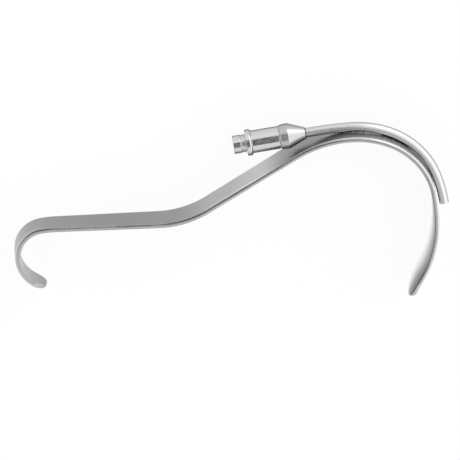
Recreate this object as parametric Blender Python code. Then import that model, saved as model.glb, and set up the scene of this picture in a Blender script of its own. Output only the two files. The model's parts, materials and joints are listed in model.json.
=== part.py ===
"""Fiber optic retractor: a forged strip with a finger hook and a C-shaped blade, and a light
guide brazed along its outer face, fed from a screw-on light post.

Lengths are in metres. The strip lies on its side: +X runs from the hook to the blade, +Y is
the side that carries the light guide, and +Z is across the strip's width.
"""
import math

import bmesh
import bpy
from mathutils import Matrix, Vector

# Strip: section and width
HOOK_WIDTH = 0.0118
BLADE_WIDTH = 0.0192
HANDLE_THICKNESS = 0.0025
BLADE_THICKNESS = 0.0021
EDGE_ROUND = 0.0007

# Strip: centre line, from the hook's tip to the blade's tip
HOOK_CURL_RADIUS = 0.0151
HOOK_CURL_ANGLE = 95.5
HOOK_BEND_RADIUS = 0.0122
HOOK_BEND_ANGLE = 65.4
HOOK_ENTRY_RADIUS = 0.0447
HOOK_ENTRY_ANGLE = 8.6
HANDLE_LENGTH = 0.0454
HANDLE_BEND_RADIUS = 0.0421
HANDLE_BEND_ANGLE = 31.2
NECK_LENGTH = 0.0458
CROWN_ENTRY_RADIUS = 0.0503
CROWN_ENTRY_ANGLE = 29.3
CROWN_RADIUS = 0.0385
CROWN_ANGLE = 25.2
SHOULDER_RADIUS = 0.0328
SHOULDER_ANGLE = 56.8
BLADE_UPPER_RADIUS = 0.0776
BLADE_UPPER_ANGLE = 11.4
BLADE_LOWER_RADIUS = 0.0516
BLADE_LOWER_ANGLE = 28.2
LIP_RADIUS = 0.0636
LIP_ANGLE = 11.0

# Light guide: tube and fibre bundle
TUBE_DIAMETER = 0.0042
TUBE_BORE = 0.0032
BUNDLE_DIAMETER = 0.0030
TUBE_SEAT_GAP = 0.00005
TUBE_SIDE_OFFSET = 0.0008
TUBE_SOCKET_LENGTH = 0.0060
TUBE_FREE_LENGTH = 0.0038
LEAD_IN_RADIUS = 0.1716
LEAD_IN_ANGLE = 5.2
CONTACT_SLOPE = 2.4
TUBE_CONTACT_END = 0.0265
TUBE_END_RADIUS = 0.0620
TUBE_END_LENGTH = 0.0143

# Braze seams: stretches measured along the strip from the crown's start
BRAZE_FIRST_START = -0.0032
BRAZE_FIRST_LENGTH = 0.0168
BRAZE_SECOND_START = 0.0260
BRAZE_SECOND_LENGTH = 0.0140
BRAZE_FOOT = 0.0007
BRAZE_SAG = 0.00012
BRAZE_GAP = 0.00004
# Where the fillet touches the tube, in degrees up from the tube's underside
BRAZE_ANGLES = (38.0, 48.0, 60.0)
# The fillet's size at its two ends, as a share of its full size
BRAZE_END_SHARE = 0.55

# Light post: cone, threaded stub, adapter
CONE_LENGTH = 0.0114
CONE_RIM_DIAMETER = 0.01085
CONE_RIM_CHAMFER = 0.0005
CONE_SHOULDER_DIAMETER = 0.01125
CONE_SHOULDER_LENGTH = 0.0038
CONE_TIP_DIAMETER = 0.0054
CONE_TIP_ROUND = 0.0004
STUB_DIAMETER = 0.0068
STUB_LENGTH = 0.0062
STUB_NECK_DIAMETER = 0.0060
STUB_NECK_LENGTH = 0.0010
FERRULE_DIAMETER = 0.0048
FERRULE_BORE = 0.0032
FERRULE_RECESS = 0.0004
ADAPTER_BARREL_DIAMETER = 0.0100
ADAPTER_BARREL_LENGTH = 0.0122
ADAPTER_FLANGE_DIAMETER = 0.0116
ADAPTER_FLANGE_LENGTH = 0.0026
ADAPTER_FLANGE_CHAMFER = 0.0006
ADAPTER_NECK_DIAMETER = 0.0070
ADAPTER_NECK_LENGTH = 0.0005
ADAPTER_COLLAR_LENGTH = 0.0011
ADAPTER_GROOVE_DIAMETER = 0.0074
ADAPTER_GROOVE_LENGTH = 0.0005
ADAPTER_TIP_DIAMETER = 0.0080
ADAPTER_TIP_LENGTH = 0.0036
ADAPTER_TIP_CHAMFER = 0.0003
ADAPTER_BORE = 0.0050
ADAPTER_MOUTH_DIAMETER = 0.0062
ADAPTER_MOUTH_DEPTH = 0.0012
THREAD_CLEARANCE = 0.0001
THREAD_RUN_OUT = 0.0006
SEAM_GAP = 0.0001
SEAL_SECTION = 0.0008
SEAL_CLEARANCE = 0.00005
SEAL_SIDES = 12
EDGE_BREAK = 0.00025
FIT_GAP = 0.0001
POTTING_LENGTH = 0.0020
POTTING_GAP = 0.00002
CONE_BRAZE_LENGTH = 0.0004
CONE_BRAZE_THICKNESS = 0.0003

# Mesh fineness
TURNED_SEGMENTS = 48
TUBE_SEGMENTS = 24
ARC_STEP_ANGLE = 3.0
STRAIGHT_STEP = 0.0060
END_STEPS = 9


def clear_scene():
    for item in list(bpy.data.objects):
        bpy.data.objects.remove(item, do_unlink=True)


def surface(name, colour, roughness, metallic):
    made = bpy.data.materials.new(name)
    made.use_nodes = True
    shader = made.node_tree.nodes["Principled BSDF"]
    shader.inputs["Base Color"].default_value = (*colour, 1.0)
    shader.inputs["Roughness"].default_value = roughness
    shader.inputs["Metallic"].default_value = metallic
    return made


class Path:
    """A chain of straight runs and constant-radius bends in the XY plane."""

    def __init__(self, start, heading):
        self.runs = []
        self.end = Vector(start)
        self.heading = heading
        self.length = 0.0

    def straight(self, length):
        self.runs.append((self.length, length, self.end.copy(), self.heading, 0.0))
        self.end = self.end + length * Vector((math.cos(self.heading), math.sin(self.heading)))
        self.length += length

    def bend(self, radius, turn):
        """Turn left by a positive angle in degrees, right by a negative one."""
        curve = math.copysign(1.0 / radius, turn)
        length = radius * math.radians(abs(turn))
        self.runs.append((self.length, length, self.end.copy(), self.heading, curve))
        self.end, self.heading = self.pose(self.length + length)
        self.length += length

    def pose(self, station):
        """The point and heading at a distance along the path."""
        begin, length, point, heading, curve = self.runs[-1]
        for run in self.runs:
            if station <= run[0] + run[1]:
                begin, length, point, heading, curve = run
                break
        gone = station - begin
        if curve == 0.0:
            step = Vector((math.cos(heading), math.sin(heading))) * gone
            return point + step, heading
        turned = heading + curve * gone
        shift = Vector((math.sin(turned) - math.sin(heading), math.cos(heading) - math.cos(turned)))
        return point + shift / curve, turned

    def stations(self, start, stop):
        """Distances from start to stop, close together on the bends."""
        found = [start]
        for begin, length, point, heading, curve in self.runs:
            low = max(begin, start)
            high = min(begin + length, stop)
            if high <= low:
                continue
            step = STRAIGHT_STEP
            if curve:
                step = math.radians(ARC_STEP_ANGLE) / abs(curve)
            count = max(1, math.ceil((high - low) / step))
            found.extend(low + (high - low) * k / count for k in range(1, count + 1))
        return found

    def offset_point(self, station, across, up):
        """A point beside the path: across to the left of its heading, up along Z."""
        point, heading = self.pose(station)
        return Vector((point.x - across * math.sin(heading), point.y + across * math.cos(heading), up))


def strip_path():
    hook_turn = HOOK_CURL_ANGLE + HOOK_BEND_ANGLE + HOOK_ENTRY_ANGLE
    path = Path((0.0, 0.0), math.radians(hook_turn))
    path.bend(HOOK_CURL_RADIUS, -HOOK_CURL_ANGLE)
    path.bend(HOOK_BEND_RADIUS, -HOOK_BEND_ANGLE)
    path.bend(HOOK_ENTRY_RADIUS, -HOOK_ENTRY_ANGLE)
    path.straight(HANDLE_LENGTH)
    path.handle_end = path.length
    path.bend(HANDLE_BEND_RADIUS, HANDLE_BEND_ANGLE)
    path.straight(NECK_LENGTH)
    path.entry_start = path.length
    path.bend(CROWN_ENTRY_RADIUS, -CROWN_ENTRY_ANGLE)
    path.crown_start = path.length
    path.bend(CROWN_RADIUS, -CROWN_ANGLE)
    path.bend(SHOULDER_RADIUS, -SHOULDER_ANGLE)
    path.blade_start = path.length
    path.bend(BLADE_UPPER_RADIUS, -BLADE_UPPER_ANGLE)
    path.bend(BLADE_LOWER_RADIUS, -BLADE_LOWER_ANGLE)
    path.bend(LIP_RADIUS, LIP_ANGLE)
    return path


def blend_between(low, high, start, stop, station):
    share = min(max((station - start) / (stop - start), 0.0), 1.0)
    return low + (high - low) * share


def strip_width(path, station):
    return blend_between(HOOK_WIDTH, BLADE_WIDTH, 0.0, path.blade_start, station)


def strip_thickness(path, station):
    return blend_between(HANDLE_THICKNESS, BLADE_THICKNESS, path.handle_end, path.entry_start, station)


def new_object(name, mesh, material, parent=None):
    item = bpy.data.objects.new(name, mesh)
    mesh.materials.append(material)
    bpy.context.scene.collection.objects.link(item)
    item.parent = parent
    return item


def finish_mesh(name, shape, material, parent=None, smooth_angle=35.0):
    bmesh.ops.recalc_face_normals(shape, faces=shape.faces)
    mesh = bpy.data.meshes.new(name)
    shape.to_mesh(mesh)
    shape.free()
    for face in mesh.polygons:
        face.use_smooth = True
    mesh.set_sharp_from_angle(angle=math.radians(smooth_angle))
    return new_object(name, mesh, material, parent)


def make_strip(path, material):
    """A flat blank with round ends, its rim rounded over, then bent along the centre line."""
    first_round = strip_width(path, 0.0) / 2
    last_round = strip_width(path, path.length) / 2
    rows = []
    for step in range(1, END_STEPS):
        angle = math.pi / 2 * step / END_STEPS
        rows.append((first_round * (1 - math.cos(angle)), first_round * math.sin(angle)))
    for station in path.stations(first_round, path.length - last_round):
        rows.append((station, strip_width(path, station) / 2))
    for step in range(END_STEPS - 1, 0, -1):
        angle = math.pi / 2 * step / END_STEPS
        rows.append((path.length - last_round * (1 - math.cos(angle)), last_round * math.sin(angle)))
    shape = bmesh.new()
    low_tip = shape.verts.new((0.0, 0.0, 0.0))
    high_tip = shape.verts.new((path.length, 0.0, 0.0))
    left = [shape.verts.new((station, half, 0.0)) for station, half in rows]
    right = [shape.verts.new((station, -half, 0.0)) for station, half in rows]
    shape.faces.new((low_tip, right[0], left[0]))
    for k in range(len(rows) - 1):
        shape.faces.new((left[k], right[k], right[k + 1], left[k + 1]))
    shape.faces.new((high_tip, left[-1], right[-1]))
    grown = bmesh.ops.extrude_face_region(shape, geom=list(shape.faces))
    lifted = [part for part in grown["geom"] if isinstance(part, bmesh.types.BMVert)]
    bmesh.ops.translate(shape, vec=(0.0, 0.0, HANDLE_THICKNESS), verts=lifted)
    bmesh.ops.recalc_face_normals(shape, faces=shape.faces)
    rim = [edge for edge in shape.edges if edge.calc_face_angle(0.0) > math.radians(60.0)]
    rim = [edge for edge in rim if abs(edge.verts[0].co.z - edge.verts[1].co.z) < 1e-9]
    bmesh.ops.bevel(shape, geom=rim, offset=EDGE_ROUND, offset_type="OFFSET", segments=3,
                    profile=0.5, affect="EDGES", clamp_overlap=True)
    for vertex in shape.verts:
        station, side, height = vertex.co
        across = (height / HANDLE_THICKNESS - 0.5) * strip_thickness(path, station)
        vertex.co = path.offset_point(station, across, side)
    return finish_mesh("retractor_strip", shape, material)


def ring(shape, centre, axis_x, axis_y, radius, count=TUBE_SEGMENTS):
    found = []
    for k in range(count):
        angle = 2 * math.pi * k / count
        spot = centre + radius * (math.cos(angle) * axis_x + math.sin(angle) * axis_y)
        found.append(shape.verts.new(spot))
    return found


def skin(shape, rings, closed):
    """Quads between neighbouring rings; an open run gets a cap at each end."""
    count = len(rings[0])
    pairs = list(zip(rings, rings[1:]))
    if closed:
        pairs.append((rings[-1], rings[0]))
    for low, high in pairs:
        for k in range(count):
            n = (k + 1) % count
            shape.faces.new((low[k], low[n], high[n], high[k]))
    if not closed:
        shape.faces.new(rings[0])
        shape.faces.new(rings[-1])


def path_rings(shape, path, start, stop, radius, lift):
    found = []
    for station in path.stations(start, stop):
        point, heading = path.pose(station)
        side = Vector((-math.sin(heading), math.cos(heading), 0.0))
        found.append(ring(shape, Vector((point.x, point.y, lift)), side, Vector((0, 0, 1)), radius))
    return found


def make_tube(name, path, start, stop, outer, bore, lift, material):
    shape = bmesh.new()
    rings = path_rings(shape, path, start, stop, outer / 2, lift)
    if bore:
        rings.extend(reversed(path_rings(shape, path, start, stop, bore / 2, lift)))
    skin(shape, rings, closed=bool(bore))
    return finish_mesh(name, shape, material)


def make_turned(name, profile, material, parent, place=0.0, segments=TURNED_SEGMENTS):
    """Spin a closed profile of (radius, height) corners a full turn about local Z."""
    shape = bmesh.new()
    corners = [shape.verts.new((radius, 0.0, height)) for radius, height in profile]
    edges = [shape.edges.new((corners[k], corners[(k + 1) % len(corners)])) for k in range(len(corners))]
    bmesh.ops.spin(shape, geom=corners + edges, cent=(0, 0, 0), axis=(0, 0, 1), dvec=(0, 0, 0),
                   angle=2 * math.pi, steps=segments, use_merge=True, use_duplicate=False)
    item = finish_mesh(name, shape, material, parent)
    item.location = (0.0, 0.0, place)
    return item


def guide_path(strip, straight_length):
    """The light guide's centre line: a straight start, a gentle lead-in, then along the strip."""
    stand_off = BLADE_THICKNESS / 2 + TUBE_SEAT_GAP + TUBE_DIAMETER / 2
    contact = strip.entry_start + CROWN_ENTRY_RADIUS * math.radians(HANDLE_BEND_ANGLE - CONTACT_SLOPE)
    touch = strip.offset_point(contact, stand_off, 0.0).xy
    heading = math.radians(CONTACT_SLOPE + LEAD_IN_ANGLE)
    lead_in = Path((0.0, 0.0), heading)
    lead_in.straight(straight_length)
    lead_in.bend(LEAD_IN_RADIUS, -LEAD_IN_ANGLE)
    path = Path(touch - lead_in.end, heading)
    path.straight(straight_length)
    path.bend(LEAD_IN_RADIUS, -LEAD_IN_ANGLE)
    path.bend(CROWN_ENTRY_RADIUS + stand_off, HANDLE_BEND_ANGLE - CONTACT_SLOPE - CROWN_ENTRY_ANGLE)
    path.bend(CROWN_RADIUS + stand_off, -CROWN_ANGLE)
    path.bend(SHOULDER_RADIUS + stand_off, -math.degrees(TUBE_CONTACT_END / SHOULDER_RADIUS))
    path.bend(TUBE_END_RADIUS, -math.degrees(TUBE_END_LENGTH / TUBE_END_RADIUS))
    return path


def make_braze(name, strip, start, length, side, material):
    """A fillet between the tube's underside and the strip, on one side of the tube."""
    tube_radius = TUBE_DIAMETER / 2
    base = BLADE_THICKNESS / 2 + BRAZE_GAP
    axis = BLADE_THICKNESS / 2 + TUBE_SEAT_GAP + tube_radius
    reach = tube_radius + BRAZE_GAP
    shape = bmesh.new()
    rings = []
    stations = strip.stations(start, start + length)
    for index, station in enumerate(stations):
        swell = 1.0 if 0 < index < len(stations) - 1 else BRAZE_END_SHARE
        section = []
        for turn in BRAZE_ANGLES:
            angle = math.radians(blend_between(BRAZE_ANGLES[0], turn, 0.0, 1.0, swell))
            section.append((reach * math.sin(angle), axis - reach * math.cos(angle)))
        outer, top = section[-1]
        foot = outer + BRAZE_FOOT * swell
        sag = BRAZE_SAG * swell
        section.append(((outer + foot) / 2 - sag, (top + base) / 2 - sag))
        section.append((foot, base))
        section.append((section[0][0], base))
        ring_now = []
        for across, lift in section:
            up = TUBE_SIDE_OFFSET + side * across
            ring_now.append(shape.verts.new(strip.offset_point(station, lift, up)))
        rings.append(ring_now)
    skin(shape, rings, closed=False)
    return finish_mesh(name, shape, material, smooth_angle=50.0)


def chamfered(radius, low, high, cut):
    """Outer corners of a plain band from low to high, both edges broken."""
    return [(radius - cut, low), (radius, low + cut), (radius, high - cut), (radius - cut, high)]


def adapter_length():
    nose = ADAPTER_TIP_LENGTH + ADAPTER_GROOVE_LENGTH + ADAPTER_COLLAR_LENGTH + ADAPTER_NECK_LENGTH
    return nose + ADAPTER_FLANGE_LENGTH + ADAPTER_BARREL_LENGTH


def adapter_profile():
    """Snap tip, groove, collar, neck, flange and barrel outside; bore, thread and seal seat inside."""
    tip = ADAPTER_TIP_DIAMETER / 2
    groove = ADAPTER_GROOVE_DIAMETER / 2
    neck = ADAPTER_NECK_DIAMETER / 2
    flange = ADAPTER_FLANGE_DIAMETER / 2
    barrel = ADAPTER_BARREL_DIAMETER / 2
    tip_end = ADAPTER_TIP_LENGTH
    groove_end = tip_end + ADAPTER_GROOVE_LENGTH
    collar_end = groove_end + ADAPTER_COLLAR_LENGTH
    neck_end = collar_end + ADAPTER_NECK_LENGTH
    flange_end = neck_end + ADAPTER_FLANGE_LENGTH
    back = adapter_length()
    seat = SEAL_SECTION + SEAL_CLEARANCE
    thread_depth = STUB_LENGTH + THREAD_RUN_OUT
    outside = [(tip - EDGE_BREAK, 0.0), (tip, EDGE_BREAK), (tip, tip_end - ADAPTER_TIP_CHAMFER)]
    outside += [(groove, tip_end), (groove, groove_end), (tip, groove_end + ADAPTER_TIP_CHAMFER)]
    outside += [(tip, collar_end), (neck, collar_end), (neck, neck_end)]
    outside += [(flange - EDGE_BREAK, neck_end), (flange, neck_end + EDGE_BREAK)]
    outside += [(flange, flange_end - ADAPTER_FLANGE_CHAMFER), (barrel, flange_end)]
    outside += [(barrel, back - EDGE_BREAK), (barrel - EDGE_BREAK, back)]
    counterbore = STUB_DIAMETER / 2 + SEAL_SECTION + 2 * SEAL_CLEARANCE
    thread = STUB_DIAMETER / 2 + THREAD_CLEARANCE
    inside = [(counterbore, back), (counterbore, back - seat), (thread, back - seat)]
    inside += [(thread, back - thread_depth), (ADAPTER_BORE / 2, back - thread_depth)]
    inside += [(ADAPTER_BORE / 2, ADAPTER_MOUTH_DEPTH), (ADAPTER_MOUTH_DIAMETER / 2, ADAPTER_MOUTH_DEPTH)]
    inside += [(ADAPTER_MOUTH_DIAMETER / 2, EDGE_BREAK), (ADAPTER_MOUTH_DIAMETER / 2 + EDGE_BREAK, 0.0)]
    return outside + inside


def cone_profile():
    """The post body: a threaded stub, a flared collar and a cone down to the tube."""
    rim = CONE_RIM_DIAMETER / 2
    shoulder = CONE_SHOULDER_DIAMETER / 2
    tip = CONE_TIP_DIAMETER / 2
    stub = STUB_DIAMETER / 2
    ferrule_bore = FERRULE_DIAMETER / 2 + FIT_GAP
    tube_bore = TUBE_DIAMETER / 2 + FIT_GAP
    outside = [(stub - EDGE_BREAK, -STUB_LENGTH), (stub, EDGE_BREAK - STUB_LENGTH)]
    outside += [(stub, -STUB_NECK_LENGTH - EDGE_BREAK), (STUB_NECK_DIAMETER / 2, -STUB_NECK_LENGTH)]
    outside += [(STUB_NECK_DIAMETER / 2, 0.0), (rim - CONE_RIM_CHAMFER, 0.0), (rim, CONE_RIM_CHAMFER)]
    outside += [(shoulder, CONE_SHOULDER_LENGTH)]
    for step in range(4):
        angle = math.pi / 2 * step / 3
        radius = tip - CONE_TIP_ROUND * (1 - math.cos(angle))
        outside.append((radius, CONE_LENGTH - CONE_TIP_ROUND * (1 - math.sin(angle))))
    inside = [(tube_bore, CONE_LENGTH), (tube_bore, CONE_LENGTH - TUBE_SOCKET_LENGTH - FIT_GAP)]
    inside += [(ferrule_bore, CONE_LENGTH - TUBE_SOCKET_LENGTH - FIT_GAP), (ferrule_bore, -STUB_LENGTH)]
    return outside + inside


def sleeve(outer, inner, length, cut=0.0):
    """A plain sleeve from height zero up, its outer edges broken by cut."""
    if cut:
        return chamfered(outer / 2, 0.0, length, cut) + [(inner / 2, length), (inner / 2, 0.0)]
    return [(outer / 2, 0.0), (outer / 2, length), (inner / 2, length), (inner / 2, 0.0)]


def seal_profile():
    centre = STUB_DIAMETER / 2 + SEAL_CLEARANCE + SEAL_SECTION / 2
    corners = []
    for k in range(SEAL_SIDES):
        angle = 2 * math.pi * k / SEAL_SIDES
        corners.append((centre + SEAL_SECTION / 2 * math.cos(angle), SEAL_SECTION / 2 * math.sin(angle)))
    return corners


def make_post(guide, materials):
    """The light post stands on the guide's straight start; local +Z points toward the tube."""
    point, heading = guide.pose(TUBE_SOCKET_LENGTH)
    direction = Vector((math.cos(heading), math.sin(heading), 0.0))
    side = Vector((0.0, 0.0, 1.0))
    turn = Matrix((side.cross(direction), side, direction)).transposed()
    axis = bpy.data.objects.new("post_axis", None)
    bpy.context.scene.collection.objects.link(axis)
    axis.matrix_world = Matrix.Translation((point.x, point.y, TUBE_SIDE_OFFSET)) @ turn.to_4x4()
    cone_back = -CONE_LENGTH
    adapter_front = cone_back - SEAM_GAP - adapter_length()
    make_turned("post_cone", cone_profile(), materials["turned"], axis, cone_back)
    make_turned("cable_adapter", adapter_profile(), materials["turned"], axis, adapter_front)
    seal_place = cone_back - SEAM_GAP - SEAL_CLEARANCE / 2 - SEAL_SECTION / 2
    make_turned("seal_ring", seal_profile(), materials["rubber"], axis, seal_place)
    ferrule_front = adapter_front + FERRULE_RECESS
    ferrule_end = -TUBE_SOCKET_LENGTH - 2 * FIT_GAP
    ferrule_length = ferrule_end - ferrule_front
    make_turned("bundle_ferrule", sleeve(FERRULE_DIAMETER, FERRULE_BORE, ferrule_length, FIT_GAP),
                materials["steel"], axis, ferrule_front)
    potting = sleeve(FERRULE_BORE - 2 * POTTING_GAP, BUNDLE_DIAMETER + 2 * POTTING_GAP, POTTING_LENGTH)
    make_turned("input_potting", potting, materials["resin"], axis, ferrule_front, TUBE_SEGMENTS)
    weld = sleeve(TUBE_DIAMETER + 2 * FIT_GAP + 2 * CONE_BRAZE_THICKNESS,
                  TUBE_DIAMETER + 2 * BRAZE_GAP, CONE_BRAZE_LENGTH, FIT_GAP)
    make_turned("cone_braze_ring", weld, materials["braze"], axis, BRAZE_GAP)
    return ferrule_front


def centre_on_floor():
    """Put the middle of the box's floor at the origin."""
    bpy.context.view_layer.update()
    spots = []
    for item in bpy.data.objects:
        if item.type == "MESH":
            spots.extend(item.matrix_world @ vertex.co for vertex in item.data.vertices)
    low = Vector([min(spot[k] for spot in spots) for k in range(3)])
    high = Vector([max(spot[k] for spot in spots) for k in range(3)])
    shift = Vector((-(low.x + high.x) / 2, -(low.y + high.y) / 2, -low.z))
    for item in bpy.data.objects:
        if item.parent is None:
            item.location = item.location + shift


def main():
    clear_scene()
    materials = {
        "forged": surface("satin_steel", (0.56, 0.56, 0.56), 0.36, 1.0),
        "turned": surface("polished_steel", (0.66, 0.66, 0.66), 0.18, 1.0),
        "steel": surface("tube_steel", (0.62, 0.62, 0.62), 0.22, 1.0),
        "braze": surface("braze_metal", (0.58, 0.56, 0.52), 0.40, 1.0),
        "rubber": surface("seal_rubber", (0.03, 0.03, 0.03), 0.60, 0.0),
        "resin": surface("clear_resin", (0.62, 0.50, 0.26), 0.30, 0.0),
        "glass": surface("glass_fibre", (0.86, 0.88, 0.84), 0.12, 0.0),
    }
    strip = strip_path()
    guide = guide_path(strip, TUBE_SOCKET_LENGTH + TUBE_FREE_LENGTH)
    make_strip(strip, materials["forged"])
    make_tube("light_guide_tube", guide, 0.0, guide.length, TUBE_DIAMETER, TUBE_BORE,
              TUBE_SIDE_OFFSET, materials["steel"])
    first = strip.crown_start + BRAZE_FIRST_START
    second = strip.crown_start + BRAZE_SECOND_START
    for side, label in ((1.0, "upper"), (-1.0, "lower")):
        make_braze(f"braze_seam_crown_{label}", strip, first, BRAZE_FIRST_LENGTH, side, materials["braze"])
        make_braze(f"braze_seam_blade_{label}", strip, second, BRAZE_SECOND_LENGTH, side, materials["braze"])
    ferrule_front = make_post(guide, materials)
    bundle = guide_path(strip, TUBE_FREE_LENGTH - ferrule_front)
    make_tube("fibre_bundle", bundle, 0.0, bundle.length, BUNDLE_DIAMETER, 0.0,
              TUBE_SIDE_OFFSET, materials["glass"])
    make_tube("outlet_potting", guide, guide.length - POTTING_LENGTH, guide.length,
              TUBE_BORE - 2 * POTTING_GAP, BUNDLE_DIAMETER + 2 * POTTING_GAP,
              TUBE_SIDE_OFFSET, materials["resin"])
    centre_on_floor()


main()
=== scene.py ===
"""Fiber optic retractor: the finished look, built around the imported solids.

A forged steel strip is bent into a finger hook, a handle and a C-shaped blade. A light guide
tube is brazed along its outer face and fed from a turned light post with a screw-on adapter.
Lengths are in metres. Each piece is modelled straight on the bench, along X, and its bench
place is kept in the attribute "flat"; it is then bent or set where the solids say.
"""
import json
import math

import bmesh
import bpy
from bpy.props import FloatProperty, FloatVectorProperty, IntProperty, PointerProperty
from mathutils import Matrix, Vector, noise


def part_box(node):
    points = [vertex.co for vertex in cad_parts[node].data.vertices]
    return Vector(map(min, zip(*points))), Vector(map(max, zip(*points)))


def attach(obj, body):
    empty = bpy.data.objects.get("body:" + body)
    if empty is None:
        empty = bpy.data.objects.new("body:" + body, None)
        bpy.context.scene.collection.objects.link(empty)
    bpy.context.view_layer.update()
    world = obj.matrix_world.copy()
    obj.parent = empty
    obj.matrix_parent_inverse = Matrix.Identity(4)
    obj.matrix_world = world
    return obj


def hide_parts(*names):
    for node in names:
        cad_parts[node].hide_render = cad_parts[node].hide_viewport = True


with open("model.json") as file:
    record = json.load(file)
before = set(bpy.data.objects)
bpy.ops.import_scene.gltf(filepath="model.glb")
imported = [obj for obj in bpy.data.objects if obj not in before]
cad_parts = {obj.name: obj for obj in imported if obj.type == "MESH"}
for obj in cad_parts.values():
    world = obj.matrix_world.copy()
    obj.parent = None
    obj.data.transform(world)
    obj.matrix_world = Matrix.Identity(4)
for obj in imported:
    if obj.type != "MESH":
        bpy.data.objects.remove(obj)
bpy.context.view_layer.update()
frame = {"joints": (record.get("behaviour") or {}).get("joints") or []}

bl_info = {
    "name": "Fiber Optic Retractor",
    "version": (1, 0, 0),
    "blender": (4, 5, 0),
    "location": "3D View > Sidebar > Retractor",
    "description": "Models a bent steel retractor with a brazed light guide and a screw-on light post",
    "category": "Add Mesh",
}

# The strip's centre line: run, its radius or length, and its turn in degrees (left is positive)
CENTRE_LINE = (
    ("hook_curl", 0.0151, -95.5),
    ("hook_bend", 0.0122, -65.4),
    ("hook_entry", 0.0447, -8.6),
    ("handle", 0.0454, 0.0),
    ("handle_bend", 0.0421, 31.2),
    ("neck", 0.0458, 0.0),
    ("crown_entry", 0.0503, -29.3),
    ("crown", 0.0385, -25.2),
    ("shoulder", 0.0328, -56.8),
    ("blade_upper", 0.0776, -11.4),
    ("blade_lower", 0.0516, -28.2),
    ("lip", 0.0636, 11.0),
)
RUN_SIZE = {name: size for name, size, turn in CENTRE_LINE}
RUN_TURN = {name: abs(turn) for name, size, turn in CENTRE_LINE}
HOOK_TURN = RUN_TURN["hook_curl"] + RUN_TURN["hook_bend"] + RUN_TURN["hook_entry"]

# The guide's course beside the strip
TUBE_SOCKET_LENGTH = 0.0060
TUBE_FREE_LENGTH = 0.0038
LEAD_IN_RADIUS = 0.1716
LEAD_IN_ANGLE = 5.2
CONTACT_SLOPE = 2.4
TUBE_CONTACT_END = 0.0265
TUBE_END_RADIUS = 0.0620
TUBE_END_LENGTH = 0.0143
TUBE_SEAT_GAP = 0.00005
POTTING_LENGTH = 0.0020

# The light post's axis, from the adapter's tip toward the tube
TURN_JOINT = next(joint for joint in frame["joints"] if joint["name"] == "adapter_turn")
POST_TIP = Vector(TURN_JOINT["pos_m"])
POST_ALONG = -Vector(TURN_JOINT["axis"]).normalized()

# Mesh fineness: steps and angles in degrees, distances in metres, and facets
BEND_STEP = 2.0
STRAIGHT_STEP = 0.004
MERGE_DISTANCE = 0.000002
SHARP_ANGLE = 42.0
CORNER_ANGLE = 60.0
TUBE_SEGMENTS = 72
BREAK_SEGMENTS = 3


def length(name, default, description):
    return FloatProperty(name=name, description=description, default=default, min=0.0,
                         unit="LENGTH", precision=5)


def share(name, default, description):
    return FloatProperty(name=name, description=description, default=default, min=0.0, max=1.0,
                         subtype="FACTOR")


def colour(name, default, description):
    return FloatVectorProperty(name=name, description=description, default=default, size=3,
                               min=0.0, max=1.0, subtype="COLOR")


class StripSizes(bpy.types.PropertyGroup):
    hook_width: length("Hook width", 0.0118, "Width of the strip at the finger hook's tip")
    blade_width: length("Blade width", 0.0192, "Width of the strip along the blade")
    handle_thickness: length("Handle thickness", 0.0025, "Thickness of the handle")
    blade_thickness: length("Blade thickness", 0.0021, "Thickness of the blade")
    outer_round: length("Outer edge round", 0.0009, "Radius of the rim on the light guide's side")
    inner_round: length("Inner edge round", 0.0005, "Radius of the rim on the hand's side")
    steel: colour("Steel", (0.26, 0.26, 0.26), "Colour of the satin steel")
    roughness: share("Roughness", 0.28, "Roughness of the satin steel")


class GuideSizes(bpy.types.PropertyGroup):
    tube_diameter: length("Tube diameter", 0.0042, "Outside diameter of the light guide tube")
    tube_bore: length("Tube bore", 0.0032, "Inside diameter of the light guide tube")
    bundle_diameter: length("Bundle diameter", 0.0030, "Diameter of the glass fibre bundle")
    fibre_pitch: length("Fibre pitch", 0.00021, "Distance between neighbouring fibre ends")
    braze_width: length("Braze width", 0.0005, "Width of the braze fillets beyond the tube")
    steel: colour("Steel", (0.62, 0.62, 0.62), "Colour of the drawn tube")
    roughness: share("Roughness", 0.24, "Roughness of the drawn tube")
    braze: colour("Braze", (0.15, 0.149, 0.147), "Colour of the silver braze")
    glass: colour("Glass", (0.86, 0.88, 0.84), "Colour of the fibre ends")
    resin: colour("Resin", (0.62, 0.50, 0.26), "Colour of the potting resin")


class PostSizes(bpy.types.PropertyGroup):
    barrel_diameter: length("Barrel diameter", 0.0100, "Diameter of the adapter's barrel")
    flange_diameter: length("Flange diameter", 0.0116, "Diameter of the adapter's flange")
    groove_diameter: length("Groove diameter", 0.0074, "Diameter of the groove behind the snap tip")
    neck_diameter: length("Neck diameter", 0.0070, "Diameter of the neck before the flange")
    tip_diameter: length("Tip diameter", 0.0080, "Diameter of the snap tip")
    bore: length("Bore", 0.0050, "Bore through the adapter")
    shoulder_diameter: length("Shoulder diameter", 0.01125, "Largest diameter of the cone")
    thread_pitch: length("Thread pitch", 0.00075, "Pitch of the thread that holds the adapter")
    thread_depth: length("Thread depth", 0.00030, "Depth of that thread")
    ring_segments: IntProperty(name="Ring segments", default=96, min=24, max=256,
                               description="Facets round a turned piece")
    steel: colour("Steel", (0.62, 0.62, 0.62), "Colour of the polished turned steel")
    roughness: share("Roughness", 0.14, "Roughness of the polished adapter")
    cone_steel: colour("Cone steel", (0.50, 0.50, 0.50), "Colour of the satin cone")
    cone_roughness: share("Cone roughness", 0.33, "Roughness of the satin cone")
    rubber: colour("Rubber", (0.025, 0.025, 0.025), "Colour of the seal ring")


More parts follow.
